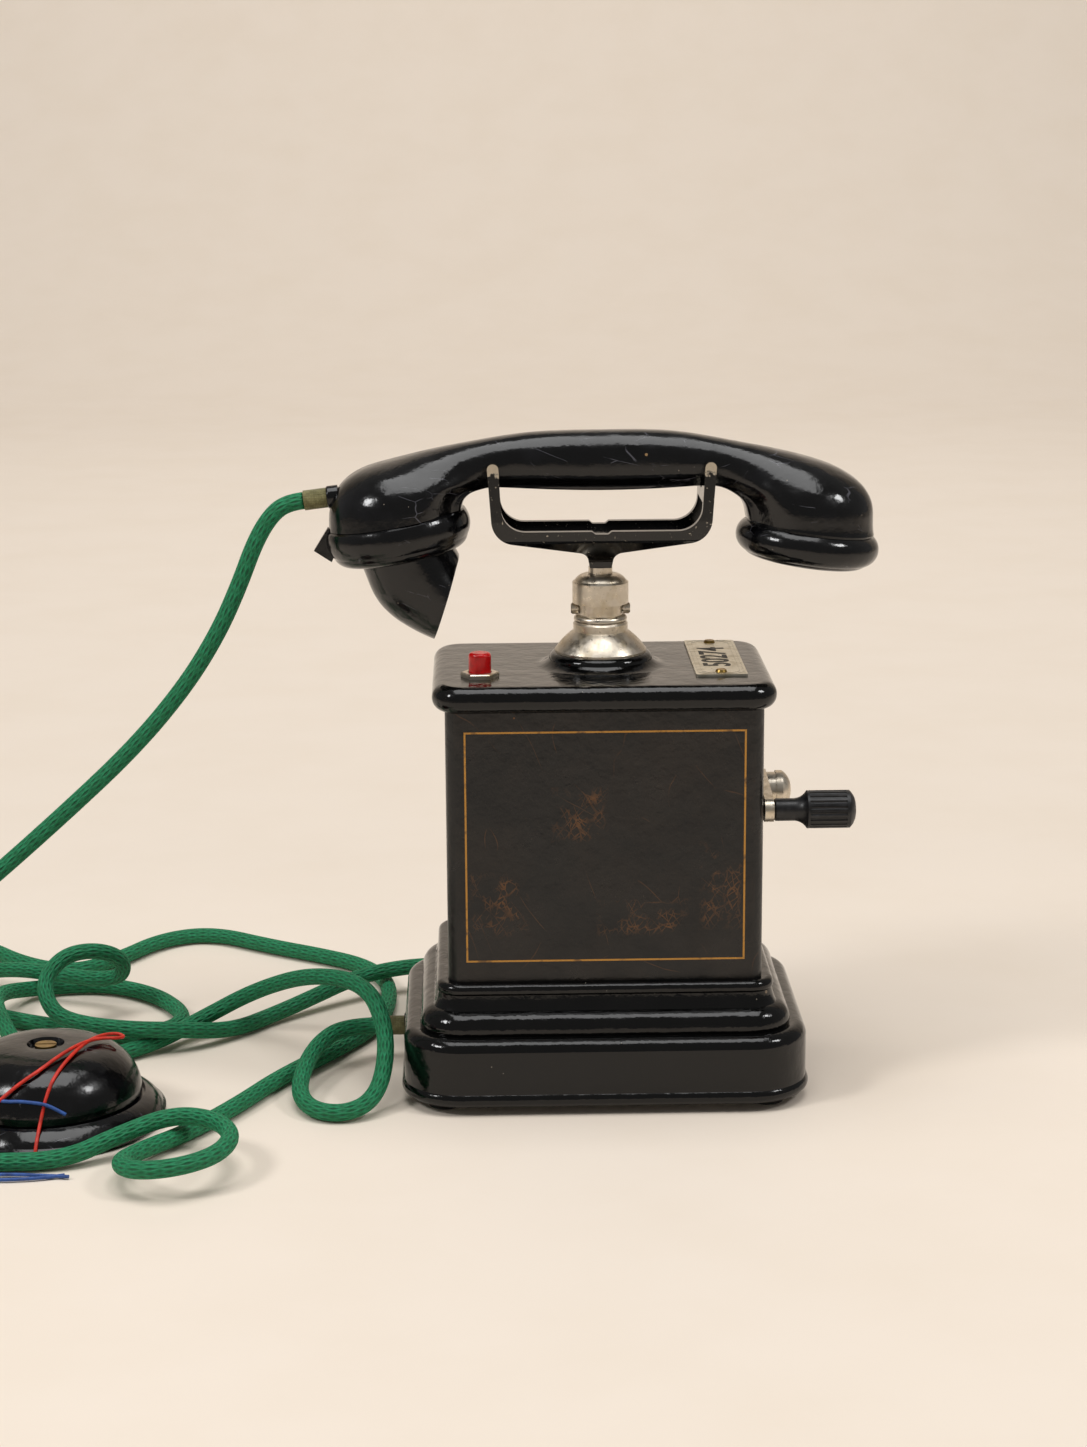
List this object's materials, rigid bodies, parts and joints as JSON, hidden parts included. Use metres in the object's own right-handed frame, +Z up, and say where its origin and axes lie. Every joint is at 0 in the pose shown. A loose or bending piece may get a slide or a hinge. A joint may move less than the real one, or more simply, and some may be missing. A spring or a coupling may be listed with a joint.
{
  "type": "magneto desk telephone",
  "caption": "Desk telephone with stepped plinth, tall steel case, nickel cradle column, handset with scoop mouthpiece, hand crank, braided cords and wall rosette",
  "frame": {"origin": "under the middle of the telephone, on the surface that its rubber feet stand on", "axes": "+Z up, the user sits at -Y, the crank is on +X"},
  "size_m": [0.5474, 0.3471, 0.2866],
  "materials": {
    "black_bakelite": "polished black phenolic",
    "black_crackle": "worn black lacquer with brown wear and a gold line round the front",
    "black_enamel": "gloss black lacquer over pressed steel",
    "black_rubber": "black moulded rubber",
    "brass": "turned brass",
    "capsule_alu": "pressed aluminium",
    "copper_winding": "varnished copper wire",
    "fibre": "brown insulating board",
    "green_braid": "emerald green woven braid",
    "green_winding": "green silk covered wire",
    "laminated_iron": "laminated soft iron",
    "magnet_steel": "dark red lacquered magnet steel",
    "nickel": "polished nickel plate, a little dull",
    "olive_braid": "olive woven sleeve",
    "plate_alu": "etched number plate, worn",
    "red_plastic": "red turned button",
    "spring_steel": "oiled steel",
    "zinc_steel": "zinc plated sheet"
  },
  "bodies": {
    "base": {"base_plate": "zinc_steel", "base_screws": "zinc_steel", "base_sleeve": "olive_braid", "body_shell": "black_crackle", "button_housing": "nickel", "button_spring": "spring_steel", "cap_nut": "nickel", "capacitor": "capsule_alu", "chassis_plate": "zinc_steel", "column_foot": "nickel", "column_nut": "nickel", "column_ring": "nickel", "column_tube": "nickel", "cord_glands": "black_rubber", "crank_bearing": "nickel", "handset_cord": "green_braid", "induction_coil": "green_winding", "lid": "black_enamel", "line_cord": "green_braid", "magneto_bolts": "zinc_steel", "magneto_end_plates": "brass", "magnets": "magnet_steel", "neck_screws": "nickel", "number_plate": "plate_alu", "plate_screws": "brass", "plinth": "black_enamel", "pole_pieces": "laminated_iron", "return_spring": "spring_steel", "ringer_coils": "green_winding", "ringer_frame": "laminated_iron", "ringer_gongs": "brass", "rosette_base": "black_bakelite", "rosette_cover": "black_bakelite", "rosette_screw": "brass", "rubber_feet": "black_rubber", "switch_blades": "brass", "switch_bracket": "zinc_steel", "terminal_screws": "brass", "terminal_strip": "fibre"},
    "cradle": {"cradle": "black_enamel", "plunger": "nickel"},
    "handset": {"handset_shell": "black_bakelite", "mouth_cap": "black_bakelite", "mouth_horn": "black_bakelite", "transmitter_capsule": "capsule_alu", "receiver_capsule": "capsule_alu", "ear_cap": "black_bakelite", "ear_diaphragm": "zinc_steel", "cord_collar": "black_bakelite", "handset_sleeve": "olive_braid"},
    "crank": {"crank_arm": "nickel", "crank_cap": "nickel", "crank_shaft": "spring_steel", "drive_gear": "brass"},
    "grip": {"crank_grip": "black_bakelite"},
    "armature": {"armature": "laminated_iron", "armature_winding": "copper_winding", "armature_shaft": "spring_steel"},
    "button": {"push_button": "red_plastic"},
    "clapper": {"clapper": "brass"}
  },
  "joints": [
    {"name": "handset_lift", "type": "slide", "parent": "base", "child": "handset", "axis": [0, 0, 1], "range_m": [0, 0.12]},
    {"name": "cradle_rise", "type": "slide", "parent": "base", "child": "cradle", "axis": [0, 0, 1], "range_m": [0, 0.006], "deforming": ["return_spring"]},
    {"name": "crank_turn", "type": "hinge", "parent": "base", "child": "crank", "pos_m": [0, 0, 0.1263], "axis": [1, 0, 0], "continuous": true},
    {"name": "grip_spin", "type": "hinge", "parent": "crank", "child": "grip", "pos_m": [0, -0.035, 0.1263], "axis": [1, 0, 0], "continuous": true},
    {"name": "armature_spin", "type": "hinge", "parent": "base", "child": "armature", "pos_m": [0, 0, 0.08255], "axis": [1, 0, 0], "continuous": true},
    {"name": "button_press", "type": "slide", "parent": "base", "child": "button", "axis": [0, 0, -1], "range_m": [0, 0.003], "stiffness_N_per_m": 300, "springref_m": -0.004, "deforming": ["button_spring"]},
    {"name": "clapper_swing", "type": "hinge", "parent": "base", "child": "clapper", "pos_m": [0.022, 0, 0.03], "axis": [0, 0, 1], "range_deg": [-6, 6]}
  ],
  "couplings": [
    {"joint": "cradle_rise", "follows": "handset_lift", "ratio": 0.05},
    {"joint": "armature_spin", "follows": "crank_turn", "ratio": -4}
  ]
}
